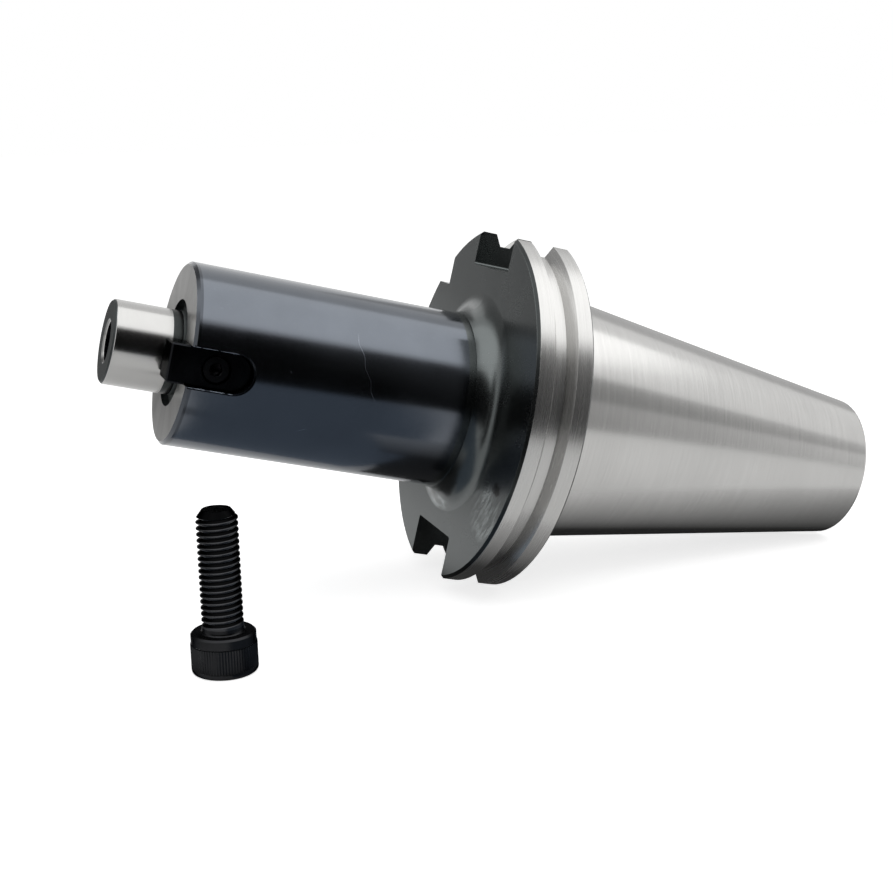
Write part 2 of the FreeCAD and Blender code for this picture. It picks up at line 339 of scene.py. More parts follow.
@dataclass(frozen=True)
class ArborSizes:
    """Where the arbor's surfaces begin and end, in millimetres in its own axes.

    The skin is how far off a surface a point may lie and still count as on it.
    """

    skin: float = 0.05
    gauge_radius: float = 34.925
    taper_rate: float = 7.0 / 24.0
    taper_length: float = 101.75
    taper_end_chamfer: float = 0.3
    taper_ground_to: float = 1.02
    taper_ground_depth: float = 1.3
    rim_from: float = 3.65
    rim_to: float = 18.35
    rims_and_groove: Point = (2.0, 19.0)
    groove_bottom: float = 45.3
    flange_edge_radius: float = 47.75
    flange_face: float = 19.0
    face_skin: float = 0.2
    face_from_radius: float = 26.0
    face_soft: float = 4.0
    fillet_top: float = 27.0
    fillet_soft: float = 0.3
    keyway_half: float = 12.85
    keyway_floor: float = 37.7
    deep_floor: float = 35.5
    notch_x: float = 30.0
    notch_y: float = 29.5
    band: Point = (98.5, 100.2)
    band_soft: float = 0.1
    band_radius: float = 23.2
    seat: float = 100.0
    seat_ring: Point = (14.02, 23.15)
    seat_from_radius: float = 13.5
    recess_depth: float = 4.0
    recess_radius: float = 14.01
    slot_half: float = 5.05
    slot_inner: float = 11.0
    neck_end: float = 102.7
    neck_soft: float = 0.1
    neck_radius: float = 11.3
    pilot_within: float = 12.0
    pilot_skin: Point = (10.85, 11.2)
    pilot_tip: float = 117.5
    pilot_tip_chamfer: float = 0.35
    sink_skin: Point = (5.2, 5.95)
    sink_from_tip: Point = (0.62, 0.04)
    tip_face_depth: float = 0.40

    def ground(self, at: ArborCoordinates) -> Field:
        """Mask the ground surfaces.

        Args:
            at: The surface point.

        Returns:
            The mask of the taper, the rims and groove, the seat, the pilot and its countersink.
        """
        cone = at.z * (self.taper_rate / 2) + self.gauge_radius
        along_taper = at.z.between(self.taper_end_chamfer - self.taper_length, self.taper_ground_to)
        taper = along_taper * (at.r - cone).above(-self.taper_ground_depth)
        rims = at.z.between(self.rim_from, self.rim_to) * at.r.above(self.groove_bottom)
        in_keyway = abs(at.y).below(self.keyway_half + self.skin)
        shallow = at.x.above(self.keyway_floor - 2 * self.skin) * in_keyway
        deep = at.x.below(2 * self.skin - self.deep_floor) * in_keyway
        notch = at.x.above(self.notch_x - self.skin) * at.y.above(self.notch_y - self.skin)
        rims = rims * (1 - (shallow | deep | notch))
        in_slot = abs(at.x).below(self.slot_half) * abs(at.y).above(self.slot_inner)
        on_seat = at.z.between(self.seat - self.skin, self.seat + 2 * self.skin)
        seat = on_seat * at.r.between(*self.seat_ring) * (1 - in_slot)
        along_pilot = at.z.between(self.neck_end, self.pilot_tip - self.pilot_tip_chamfer, self.neck_soft)
        pilot = along_pilot * at.r.between(*self.pilot_skin)
        sink_from, sink_to = (self.pilot_tip - depth for depth in self.sink_from_tip)
        sink = at.z.between(sink_from, sink_to) * at.r.between(*self.sink_skin)
        return taper | rims | seat | pilot | sink

    def zones(self, at: ArborCoordinates) -> Zones:
        """Mask every surface.

        Args:
            at: The surface point.

        Returns:
            The masks.
        """
        ground = self.ground(at)
        end = at.z.above(self.pilot_tip - self.tip_face_depth)
        in_recess = at.z.between(self.seat - self.recess_depth, self.seat + 2 * self.skin)
        recess = in_recess * at.r.below(self.recess_radius)
        in_neck = at.z.between(self.seat + 2 * self.skin, self.neck_end, self.neck_soft)
        neck = in_neck * at.r.below(self.neck_radius)
        on_seat = at.z.between(self.seat - self.skin, self.seat + self.skin)
        on_edge = at.z.between(self.rim_to - self.skin, self.flange_face + self.skin)
        on_face = at.z.between(self.flange_face, self.flange_face + self.face_skin)
        return Zones(
            ground=ground,
            rims=at.z.between(*self.rims_and_groove),
            edge=on_edge * at.r.above(self.flange_edge_radius),
            face=on_face * at.r.above(self.face_from_radius, self.face_soft),
            band=at.z.between(*self.band, self.band_soft) * at.r.above(self.band_radius),
            seat=on_seat * at.r.above(self.seat_from_radius),
            recess=recess,
            neck=neck,
            pilot=at.z.above(self.seat + self.skin) * at.r.below(self.pilot_within),
            end=end,
            satin=(at.z.below(self.fillet_top, self.fillet_soft) | end | recess | neck) * (1 - ground),
        )


@dataclass(frozen=True)
class Grain:
    """The noises that the arbor's finish is mixed from."""

    coarse: Field
    fine: Field
    # rays out from the axis, used for the painted sheen on the seat
    fan: Field
    cloud: Field
    speck: Field

    @staticmethod
    def rings(at: ArborCoordinates, per_turn: float, per_mm: float, detail: float, rough: float) -> Field:
        """Make a noise that is drawn out into rings round the axis.

        Args:
            at: The surface point.
            per_turn: How much it changes round the axis.
            per_mm: How much it changes along the surface, 0 for rays out from the axis.
            detail: The noise's detail.
            rough: The noise's roughness.

        Returns:
            The noise.
        """
        out = at.r + 0.01
        along = (at.z + at.r) * per_mm if per_mm else 0.0
        place = at.nodes.vector(at.x / out * per_turn, at.y / out * per_turn, along)
        return at.nodes.noise(place, 1.0, detail, rough)

    @staticmethod
    def solid(at: ArborCoordinates, per_mm: float, detail: float, rough: float) -> Field:
        """Make a noise that is alike in all directions."""
        place = at.nodes.vector(at.x * per_mm, at.y * per_mm, at.z * per_mm)
        return at.nodes.noise(place, 1.0, detail, rough)

    @classmethod
    def read(cls, at: ArborCoordinates) -> "Grain":
        """Lay the noises over the surface.

        Args:
            at: The surface point.

        Returns:
            Coarse and fine rings, rays out from the axis for the seat's painted sheen, clouds and specks.
        """
        return cls(
            coarse=cls.rings(at, per_turn=0.8, per_mm=1.6, detail=2.0, rough=0.6),
            fine=cls.rings(at, per_turn=2.5, per_mm=7.0, detail=3.0, rough=0.7),
            fan=cls.rings(at, per_turn=3.0, per_mm=0.0, detail=2.0, rough=0.5),
            cloud=cls.solid(at, per_mm=0.05, detail=4.0, rough=0.55),
            speck=cls.solid(at, per_mm=2.2, detail=2.0, rough=0.5),
        )


@dataclass(frozen=True)
class Scratch:
    """A fine scratch on the body's near side: a line of z over x in the arbor's axes."""

    start: float
    slope: float
    ends: Point
    fade: float = 0.4
    width: float = 0.10
    bow: float = 0.0
    ripple: float = 0.0
    ripple_rate: float = 1.1

    def mask(self, at: ArborCoordinates) -> Field:
        """Mask the scratch.

        Args:
            at: The surface point.

        Returns:
            The mask.
        """
        middle = at.x * self.slope + self.start
        if self.bow:
            middle = middle - at.x * at.x * self.bow
        if self.ripple:
            middle = middle + (at.x * self.ripple_rate).sine() * self.ripple
        return abs(at.z - middle).below(self.width, self.width) * at.x.between(*self.ends, self.fade)


@dataclass(frozen=True)
class Patch:
    """An oval patch on the flange's face. Each stretch is one over its half width squared."""

    centre: Point
    stretch: Point

    def reach(self, at: ArborCoordinates) -> Field:
        """Measure how far out in the patch a point lies: 0 at its centre, 1 on its edge."""
        x, y = at.x - self.centre[0], at.y - self.centre[1]
        return x * x * self.stretch[0] + y * y * self.stretch[1]


@dataclass(frozen=True)
class WearAndPaintedLight:
    """Masks of the marks on the black oxide: scratches, painted highlights and a painted reflection."""

    lines: Field
    reflection_streaks: Field
    dark_mark: Field


@dataclass(frozen=True)
class OxideMarksAndPaintedLight:
    """The marks on the black oxide: scratches, a painted highlight along the key slots' edges, painted
    reflection streaks and a small dark mark on the flange's face.
    """

    scratches: tuple[Scratch, ...] = (
        Scratch(start=52.15, slope=0.47, ends=(-0.6, 14.4), fade=2.0, bow=0.0045, ripple=0.28),
        Scratch(start=73.2, slope=0.5, ends=(2.6, 3.5)),
        Scratch(start=43.3, slope=-2.2, ends=(-11.9, -10.9), width=0.14),
    )
    scratch_strength: float = 0.6
    near_side: float = -15.0
    body_skin: Point = (23.8, 24.2)
    slot_edge: Point = (4.99, 5.19)
    slot_edge_soft: float = 0.05
    slot_from_y: float = 20.0
    slot_from_radius: float = 23.3
    slot_length: Point = (88.0, 99.6)
    slot_fade: float = 1.5
    slot_highlight_strength: float = 3.0
    streak_patches: tuple[Patch, Patch] = (
        Patch((-23.5, -33.5), (0.022, 0.012)),
        Patch((-26.8, 1.5), (0.09, 0.016)),
    )
    swirl: Point = (5.0, 0.55)
    dark_mark_patch: Patch = Patch((-16.2, -37.2), (0.35, 0.10))
    dark_mark_raggedness: float = 3.0
    face_skin: Point = (19.0, 22.0)
    dark_mark_skin: Point = (19.0, 19.3)

    def hairlines(self, at: ArborCoordinates) -> Field:
        """Mask the long curved scratch on the near side of the body and the two short ones."""
        first, second, third = (scratch.mask(at) for scratch in self.scratches)
        return (first | second | third) * (at.y.below(self.near_side) * at.r.between(*self.body_skin))

    def slot_edge_highlights(self, at: ArborCoordinates) -> Field:
        """Mask the painted highlight along the key slots' edges, broken into patches.

        Args:
            at: The surface point.

        Returns:
            The mask.
        """
        place = at.nodes.vector(at.z * 0.5, at.x * 0.2, at.y * 0.1)
        patchy = at.nodes.noise(place, 1.0, 2.0, 0.6).above(0.45, 0.12)
        side = abs(at.x).between(*self.slot_edge, self.slot_edge_soft) * abs(at.y).above(self.slot_from_y)
        along = at.z.between(*self.slot_length, self.slot_fade)
        return patchy * side * along * at.r.above(self.slot_from_radius)

    def reflection_streaks(self, at: ArborCoordinates) -> Field:
        """Mask the lighter swirled streaks on the lower part of the flange's face, a painted reflection.

        Args:
            at: The surface point.

        Returns:
            The mask.
        """
        turn, rise = self.swirl
        swirl = at.nodes.vector(at.x / at.r * turn, at.y / at.r * turn, at.r * rise)
        streaked = at.nodes.noise(swirl, 1.0, 4.0, 0.65).above(0.52, 0.14)
        first, second = (patch.reach(at).below(1.0, 0.9) for patch in self.streak_patches)
        return (first | second) * streaked * at.z.between(*self.face_skin)

    def dark_mark(self, at: ArborCoordinates) -> Field:
        """Mask the small dark mark above the painted streaks.

        Args:
            at: The surface point.

        Returns:
            The mask.
        """
        ragged = at.nodes.noise(at.nodes.vector(at.x * 0.7, at.y * 0.7, 0.0), 1.0, 3.0, 0.6)
        reach = self.dark_mark_patch.reach(at) + ragged.swing() * self.dark_mark_raggedness
        return reach.below(0.8, 0.3) * at.z.between(*self.dark_mark_skin)

    def read(self, at: ArborCoordinates) -> WearAndPaintedLight:
        """Mask all the marks. The lines are the scratches and the painted highlights along the slots' edges
        together.
        """
        lines = self.hairlines(at) * self.scratch_strength + self.slot_edge_highlights(at) * self.slot_highlight_strength
        return WearAndPaintedLight(lines, self.reflection_streaks(at), self.dark_mark(at))


@dataclass(frozen=True)
class GroundSteel:
    """The bright ground surfaces. A tone of 0.5 is the plain colour, 0 is black, 1 is twice as bright."""

    colour: Colour = (0.535, 0.531, 0.520)
    plain_tone: float = 0.5
    coarse_tone: float = 0.06
    fine_tone: float = 0.14
    cloud_tone: float = 0.08
    fan_tone: float = 0.35
    pilot_calm: float = 0.6
    pilot_dim: float = 0.10
    seat_dim: float = 0.11
    sink_dim: float = 0.19
    rim_dim: float = 0.035
    roughness: float = 0.19
    coarse_rough: float = 0.06
    fine_rough: float = 0.10
    seat_rough: float = 0.12
    rim_rough: float = 0.07

    def dress(self, nodes: NodeMaker, zones: Zones, grain: Grain) -> tuple[Socket, Field]:
        """Work out how the steel looks.

        Args:
            nodes: The material's node maker.
            zones: The surfaces' masks.
            grain: The noises.

        Returns:
            Its colour and its roughness.
        """
        coarse, fine = grain.coarse.swing(), grain.fine.swing()
        tone = (coarse * self.coarse_tone + fine * self.fine_tone) * (1 - zones.pilot * self.pilot_calm)
        tone = tone + grain.cloud.swing() * self.cloud_tone + self.plain_tone
        tone = tone - zones.pilot * self.pilot_dim
        # the seat is dimmed, and a painted sheen fans out over it from the axis
        tone = tone - zones.seat * (grain.fan.swing() * self.fan_tone + self.seat_dim)
        tone = tone - zones.end * self.sink_dim - zones.rims * self.rim_dim
        colour = nodes.mix(tone, opaque(BLACK), opaque(self.colour, 1 / self.plain_tone))
        rough = coarse * self.coarse_rough + fine * self.fine_rough + zones.seat * self.seat_rough
        return colour, rough + zones.rims * self.rim_rough + self.roughness


@dataclass(frozen=True)
class BlackenedSteel:
    """The black oxide on body and flange. A tone of 1 is the plain colour."""

    body_colour: Colour = (0.124, 0.136, 0.155)
    face_colour: Colour = (0.108, 0.118, 0.118)
    cloud_tone: float = 0.36
    speck_tone: float = 0.12
    edge_painted_shade: float = 0.65
    band_painted_shade: float = 0.42
    recess_painted_light: float = 0.3
    neck_dim: float = 0.6
    end_dim: float = 0.4
    line_light: float = 1.1
    streak_light: float = 1.5
    dark_mark_dim: float = 1.1
    body_roughness: float = 0.17
    face_roughness: float = 0.26
    end_roughness: float = 0.55
    cloud_rough: float = 0.10
    speck_rough: float = 0.04
    line_rough: float = 0.20
    recess_rough: float = 0.25

    def dress(self, nodes: NodeMaker, zones: Zones, grain: Grain, wear_and_light: WearAndPaintedLight) -> tuple[Socket, Field]:
        """Work out how the oxide looks.

        Args:
            nodes: The material's node maker.
            zones: The surfaces' masks.
            grain: The noises.
            wear_and_light: The masks of the marks and of the painted light.

        Returns:
            Its colour and its roughness.
        """
        cloud, specks = grain.cloud.swing(), grain.speck.above(0.70, 0.06)
        tone = cloud * self.cloud_tone + specks * self.speck_tone + 1.0
        # painted shade: the flange's front chamfer and a band round the nose chamfer are darkened, standing
        # in for the darker reflections these chamfers show
        tone = tone - zones.edge * self.edge_painted_shade - zones.band * self.band_painted_shade
        # painted light: the recess round the pilot's root is lightened, standing in for light that reaches
        # into it
        tone = tone + zones.recess * self.recess_painted_light - zones.neck * self.neck_dim
        tone = tone - zones.end * self.end_dim
        # the lines are scratches together with the painted highlight along the slots' edges; the streaks on
        # the flange's face are a painted reflection
        tone = tone + (wear_and_light.lines * self.line_light + wear_and_light.reflection_streaks * self.streak_light)
        tone = tone - wear_and_light.dark_mark * self.dark_mark_dim
        plain = nodes.mix(zones.satin, opaque(self.body_colour), opaque(self.face_colour))
        colour = nodes.node("ShaderNodeVectorMath", {"operation": "SCALE"}, {0: plain, 3: tone}).outputs[0]
        rough = cloud * self.cloud_rough + grain.speck.swing() * self.speck_rough
        rough = rough + self.body_roughness + wear_and_light.lines * self.line_rough
        rough = rough + zones.satin * (self.face_roughness - self.body_roughness)
        rough = rough + zones.end * (self.end_roughness - self.face_roughness)
        return colour, rough + zones.recess * self.recess_rough


@dataclass(frozen=True)
class GroundAndBlackened:
    """The arbor's finish: ground bright where it fits or is gripped, black oxide elsewhere."""

    axes: ArborAxes
    sizes: ArborSizes = ArborSizes()
    marks: OxideMarksAndPaintedLight = OxideMarksAndPaintedLight()
    steel: GroundSteel = GroundSteel()
    oxide: BlackenedSteel = BlackenedSteel()
    groove_depth: float = 0.0045
    fine_relief: float = 0.6
    coarse_relief: float = 0.35
    pilot_calm: float = 0.75
    face_rings: float = 0.9
    speck_relief: float = 0.08
    line_relief: float = 0.4
    neck_relief: float = 2.0

    def relief(self, zones: Zones, grain: Grain, wear_and_light: WearAndPaintedLight) -> Field:
        """Work out the height of the surface.

        Args:
            zones: The surfaces' masks.
            grain: The noises.
            wear_and_light: The masks of the marks and of the painted light.

        Returns:
            The height, 1 for the depth of a groove.
        """
        rings = zones.ground * (1 - zones.pilot * self.pilot_calm) + zones.face * self.face_rings
        height = (grain.fine * self.fine_relief + grain.coarse * self.coarse_relief) * rings
        height = height + grain.speck * self.speck_relief * (1 - zones.ground)
        return height + wear_and_light.lines * self.line_relief + zones.neck * self.neck_relief

    def make(self) -> bpy.types.Material:
        """Build the material.

        Returns:
            The material.
        """
        material, nodes = new_material("ground_and_blackened")
        at = ArborCoordinates.read(nodes, self.axes)
        zones, grain, wear_and_light = self.sizes.zones(at), Grain.read(at), self.marks.read(at)
        steel, steel_rough = self.steel.dress(nodes, zones, grain)
        oxide, oxide_rough = self.oxide.dress(nodes, zones, grain, wear_and_light)
        shader = nodes.node("ShaderNodeBsdfPrincipled", {}, {
            "Base Color": nodes.mix(zones.ground, oxide, steel),
            "Metallic": 1.0,
            "Roughness": steel_rough * zones.ground + oxide_rough * (1 - zones.ground),
            "Normal": nodes.bump(self.relief(zones, grain, wear_and_light), self.groove_depth * MM),
        })
        nodes.show(shader.outputs[0])
        return material


@dataclass(frozen=True)
class BlackOxide:
    """Black oxide on a small part. Where a thread's axis is given, its flanks get painted shade and its
    crests a painted highlight.
    """

    name: str
    colour: Colour = (0.022, 0.0225, 0.024)
    pale: float = 1.3
    dark: float = 0.8
    roughness: float = 0.30
    roughness_swing: float = 0.12
    grain: float = 900.0
    grain_per_cloud: float = 7.0
    grain_depth: float = 0.003
    grazing: float = 0.35
    thread_axis: Optional[Point] = None
    thread_from: float = 11.4
    flank_radius: float = 4.78
    crest_radius: float = 4.88
    flank_shade: float = 0.12
    crest_highlight: float = 2.4

    def shade_thread(self, nodes: NodeMaker, place: Socket, colour: Socket) -> Socket:
        """Darken the thread's flanks with painted shade and brighten its crests with a painted highlight.

        Args:
            nodes: The material's node maker.
            place: The surface point.
            colour: The colour so far.

        Returns:
            The colour with the thread in it.
        """
        x, y, z = (part / MM for part in nodes.split(place))
        x, y = x - self.thread_axis[0], y - self.thread_axis[1]
        radius, length = (x * x + y * y) ** 0.5, z.above(self.thread_from, 0.2)
        flanks = radius.below(self.flank_radius, 0.16) * length
        crests = radius.above(self.crest_radius, 0.1) * length
        colour = nodes.mix(flanks, colour, opaque(self.colour, self.flank_shade))
        return nodes.mix(crests, colour, opaque(self.colour, self.crest_highlight))

    def make(self) -> bpy.types.Material:
        """Build the material.

        Returns:
            The material.
        """
        material, nodes = new_material(self.name)
        place = nodes.place()
        grain = nodes.noise(place, self.grain, 3.0, 0.6)
        cloud = nodes.noise(place, self.grain / self.grain_per_cloud, 3.0, 0.5)
        pale = cloud.above(NOISE_MIDDLE, 0.4)
        colour = nodes.mix(pale, opaque(self.colour, self.dark), opaque(self.colour, self.pale))
        if self.thread_axis:
            colour = self.shade_thread(nodes, place, colour)
        rough = grain.swing() * self.roughness_swing + cloud.swing() * self.roughness_swing + self.roughness
        shader = nodes.node("ShaderNodeBsdfPrincipled", {}, {
            "Base Color": colour,
            "Metallic": 1.0,
            "Specular Tint": opaque(WHITE, self.grazing),
            "Roughness": rough,
            "Normal": nodes.bump(grain, self.grain_depth * MM),
        })
        nodes.show(shader.outputs[0])
        return material


def deselect() -> None:
    """Leave edit mode and select nothing."""
    if bpy.context.object and bpy.context.object.mode != "OBJECT":
        bpy.ops.object.mode_set(mode="OBJECT")
    for obj in bpy.context.view_layer.objects:
        obj.select_set(False)


def activate(obj: Piece) -> None:
    """Select one object alone and make it the active one.

    Args:
        obj: The object.
    """
    deselect()
    obj.select_set(True)
    bpy.context.view_layer.objects.active = obj


def open_mesh(select: str = "SELECT") -> None:
    """Put the active object in edit mode and select all of it, or nothing."""
    bpy.ops.object.mode_set(mode="EDIT")
    bpy.ops.mesh.select_all(action=select)


def close_mesh() -> None:
    """Leave edit mode."""
    bpy.ops.object.mode_set(mode="OBJECT")


def new_plane(name: str, size: float) -> Piece:
    """Add a square plane round the origin, with nothing else selected.

    Args:
        name: Its name.
        size: The length of its side.

    Returns:
        The plane.
    """
    deselect()
    bpy.ops.mesh.primitive_plane_add(size=size, location=(0, 0, 0))
    obj = bpy.context.object
    obj.name = obj.data.name = name
    return obj


def traced(name: str, points: Sequence[Point]) -> Piece:
    """Trace a line in the XZ plane by drawing one vertex from point to point.

    Args:
        name: The object's name.
        points: Radius and height of the line's points, in millimetres.

    Returns:
        The line, all of it selected and in edit mode.
    """
    obj = new_plane(name, 1)
    open_mesh()
    bpy.ops.mesh.select_mode(type="VERT")
    bpy.ops.mesh.merge(type="CENTER")
    bpy.ops.transform.translate(value=(points[0][0], 0.0, points[0][1]))
    for here, there in zip(points, points[1:]):
        step = (there[0] - here[0], 0.0, there[1] - here[1])
        bpy.ops.mesh.extrude_region_move(TRANSFORM_OT_translate={"value": step})
    bpy.ops.mesh.select_all(action="SELECT")
    return obj


def turned(name: str, profile: Sequence[Point], steps: int) -> Piece:
    """Spin a profile into a closed solid about Z.

    Args:
        name: The object's name.
        profile: Radius and height of its points, the first and last on the axis, in millimetres.
        steps: Segments round the axis.

    Returns:
        The turned object, in millimetres.
    """
    obj = traced(name, profile)
    bpy.ops.mesh.spin(steps=steps, angle=2 * math.pi, center=(0, 0, 0), axis=(0, 0, 1))
    bpy.ops.mesh.select_all(action="SELECT")
    bpy.ops.mesh.remove_doubles(threshold=MERGE_MM)
    bpy.ops.mesh.normals_make_consistent(inside=False)
    close_mesh()
    return obj


def cut_away(target: Piece, tool: Piece) -> None:
    """Cut a tool out of an object, remove the tool, and clear the slivers that this leaves.

    Args:
        target: The object that is cut.
        tool: The closed solid that cuts it.
    """
    activate(target)
    modifier = target.modifiers.new("cut", "BOOLEAN")
    modifier.operation = "DIFFERENCE"
    modifier.solver = "EXACT"
    modifier.object = tool
    bpy.ops.object.modifier_apply(modifier=modifier.name)
    bpy.data.objects.remove(tool)
    open_mesh()
    bpy.ops.mesh.remove_doubles(threshold=SLIVER_MM)
    bpy.ops.mesh.dissolve_degenerate(threshold=SLIVER_MM)
    close_mesh()


def helix(name: str, section: Sequence[Point], pitch: float, turns: int, steps: int) -> Piece:
    """Sweep a closed section along a right-hand helix about Z, in millimetres.

    Args:
        name: The object's name.
        section: Radius and height of the section's corners.
        pitch: Rise of one turn.
        turns: Whole turns of the helix.
        steps: Segments of each turn.

    Returns:
        The closed sweep, its first section at the heights given.
    """
    obj = traced(name, [*section, section[0]])
    bpy.ops.mesh.remove_doubles(threshold=MERGE_MM)
    close_mesh()
    screw = obj.modifiers.new("helix", "SCREW")
    screw.angle = 2 * math.pi
    screw.screw_offset = pitch
    screw.iterations = turns
    screw.steps = screw.render_steps = steps
    screw.use_normal_calculate = True
    bpy.ops.object.modifier_apply(modifier=screw.name)
    open_mesh("DESELECT")
    bpy.ops.mesh.select_mode(type="EDGE")
    bpy.ops.mesh.select_non_manifold(extend=False)
    bpy.ops.mesh.fill_holes(sides=0)
    bpy.ops.mesh.select_all(action="SELECT")
    bpy.ops.mesh.normals_make_consistent(inside=False)
    close_mesh()
    return obj


def settle(obj: Piece, placing: Matrix, material: bpy.types.Material, smooth: float) -> None:
    """Put a finished piece in its place, with its place in its mesh, and dress it.

    Args:
        obj: The piece, in millimetres about its own axis.
        placing: The matrix to metres in the resting frame.
        material: Its finish.
        smooth: The angle in degrees under which its edges are shaded smooth.
    """
    obj.data.transform(placing)
    activate(obj)
    bpy.ops.object.shade_smooth_by_angle(angle=math.radians(smooth))
    obj.data.materials.clear()
    obj.data.materials.append(material)


@dataclass
class Arbor:
    """The turned and ground arbor, dressed as the CAD node carries it."""

    axes: ArborAxes
    node: str = "arbor_body"

    def build(self) -> Piece:
        """Dress the arbor.

        Returns:
            Its node.
        """
        obj = frame["nodes"][self.node]
        obj.data.materials[0] = GroundAndBlackened(self.axes).make()
        return obj


@dataclass
class DriveKeys:
    """The two drive keys and the screws that hold them."""

    keys: tuple[str, str] = ("drive_key_near", "drive_key_far")
    screws: tuple[str, str] = ("key_screw_near", "key_screw_far")
    key_finish: BlackOxide = BlackOxide("black_key", colour=(0.016, 0.017, 0.019), roughness=0.22)
    screw_finish: BlackOxide = BlackOxide("black_key_screw", colour=(0.018, 0.018, 0.019))

    def build(self) -> list[Piece]:
        """Dress the keys and their screws.

        Returns:
            Their nodes.
        """
        dressed = []
        for names, finish in ((self.keys, self.key_finish), (self.screws, self.screw_finish)):
            material = finish.make()
            for name in names:
                frame["nodes"][name].data.materials[0] = material
                dressed.append(frame["nodes"][name])
        return dressed


@dataclass
class CutterScrew:
    """The M10 cutter screw, which stands on its head beside the arbor. Millimetres, tip up."""

    place: Point = (-90.465, -44.875)
    radius: float = 5.0
    root_radius: float = 4.08
    pitch: float = 1.5
    flank_angle: float = math.radians(30)
    groove_half: float = 0.11
    cutter_overlap: float = 0.12
    thread_steps: int = 48
    length: float = 30.0
    head_radius: float = 8.0
    head_height: float = 10.0
    head_round: float = 0.9
    knurl_from: float = 1.7
    knurl_lead: float = 0.3
    knurl_depth: float = 0.26
    knurl_count: int = 72
    knurl_end: float = 0.2
    step_edge: Point = (0.05, 0.02)
    step_foot: float = 0.04
    band_from: float = 7.3
    band_radius: float = 7.82
    band_round: float = 0.22
    bearing_chamfer: float = 0.45
    neck_round: float = 0.6
    neck_length: float = 1.6
    round_steps: int = 4
    tip_chamfer: float = 1.5
    tip_chamfer_length: float = 2.0
    socket_width: float = 8.0
    socket_depth: float = 5.0
    socket_drill_tip: float = 2.0
    smooth_angle: float = 32.0
    hair: float = 0.01

    def quarter_round(self, radius: float, height: float, size: float, side: int) -> list[Point]:
        """List the points of a quarter round.

        Args:
            radius: Radius at which it ends.
            height: Height at which it starts.
            size: Its own radius.
            side: 1 where it comes in from a larger radius, -1 where it comes out from a smaller one.

        Returns:
            Its points from below up.
        """
        angles = [math.pi / 2 / self.round_steps * step for step in range(self.round_steps + 1)]
        return [(radius + side * size * (1 - math.sin(angle)), height + size * (1 - math.cos(angle)))
                for angle in angles]

    def profile(self) -> list[Point]:
        """List the blank's profile.

        Returns:
            Radius and height of its points, from the socket end up to the tip.
        """
        head, band, top = self.head_radius, self.band_radius, self.head_height + self.length
        return [
            (0.0, 0.0),
            *self.quarter_round(head, 0.0, self.head_round, -1),
            (head, self.knurl_from - self.knurl_lead),
            (head, self.knurl_from),
            (head, self.band_from - self.knurl_end),
            (head - self.step_edge[0], self.band_from - self.step_edge[1]),
            (band - self.band_round, self.band_from + self.step_foot),
            (band, self.band_from + self.band_round),
            (band, self.head_height - self.bearing_chamfer),
            (band - self.bearing_chamfer, self.head_height),
            *self.quarter_round(self.radius, self.head_height, self.neck_round, 1),
            (self.radius, top - self.tip_chamfer_length),
            (self.radius - self.tip_chamfer, top),
            (0.0, top),
        ]

    def knurl(self, obj: Piece) -> None:
        """Press the straight knurl into the head: every other line goes in.

        Args:
            obj: The turned blank.
        """
        pitch_angle = math.pi / self.knurl_count
        knurled = self.band_from - self.knurl_end - self.knurl_from
        for vertex in obj.data.vertices:
            radius = math.hypot(vertex.co.x, vertex.co.y)
            in_band = -self.hair < vertex.co.z - self.knurl_from < knurled + self.hair
            line = round(math.atan2(vertex.co.y, vertex.co.x) / pitch_angle)
            if in_band and radius > self.head_radius - self.hair and line % 2:
                share = 1 - self.knurl_depth / radius
                vertex.co.x *= share
                vertex.co.y *= share

    def thread_cutter(self) -> Piece:
        """Make the cutter for the thread's groove.

        Returns:
            The cutter, from the neck to past the tip.
        """
        root, outside = self.root_radius, self.radius + self.cutter_overlap
        flat, rise = self.groove_half, (outside - root) * math.tan(self.flank_angle)
        start = self.head_height + self.neck_length
        section = [(root, start - flat), (outside, start - flat - rise),
                   (outside, start + flat + rise), (root, start + flat)]
        turns = math.ceil((self.length - self.neck_length) / self.pitch) + 1
        return helix("thread_cutter", section, self.pitch, turns, self.thread_steps)

    def socket_cutter(self) -> Piece:
        """Make the cutter for the hexagon socket.

        Returns:
            The cutter, with the drill's point at its bottom.
        """
        half_side = math.pi / 6
        deselect()
        bpy.ops.mesh.primitive_cylinder_add(
            vertices=6, radius=self.socket_width / 2 / math.cos(half_side), depth=self.socket_depth * 2,
            location=(0, 0, 0), rotation=(0, 0, half_side))
        obj = bpy.context.object
        bpy.ops.object.transform_apply(location=True, rotation=True, scale=True)
        open_mesh("DESELECT")
        bpy.ops.mesh.select_mode(type="FACE")
        close_mesh()
        for face in obj.data.polygons:
            face.select = face.normal.z > 0.9
        bpy.ops.object.mode_set(mode="EDIT")
        bpy.ops.mesh.extrude_region_move(TRANSFORM_OT_translate={"value": (0, 0, self.socket_drill_tip)})
        bpy.ops.mesh.merge(type="CENTER")
        close_mesh()
        return obj

    def build(self) -> Piece:
        """Model the screw, which the arbor doesn't mirror, and let it stand for its CAD node.

        Returns:
            The screw.
        """
        obj = turned("cutter_screw_threaded", self.profile(), self.knurl_count * 2)
        self.knurl(obj)
        cut_away(obj, self.thread_cutter())
        cut_away(obj, self.socket_cutter())
        placing = Matrix.Translation((self.place[0] * MM, self.place[1] * MM, 0)) @ Matrix.Scale(MM, 4)
        finish = BlackOxide("black_cutter_screw", roughness=0.31, thread_axis=self.place)
        settle(obj, placing, finish.make(), self.smooth_angle)
        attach(obj, BODY)
        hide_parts("cutter_screw")
        obj.visible_glossy = False
        return obj


class Way(Enum):
    """The axis along which a card's shade runs."""

    X = 0
    Y = 1


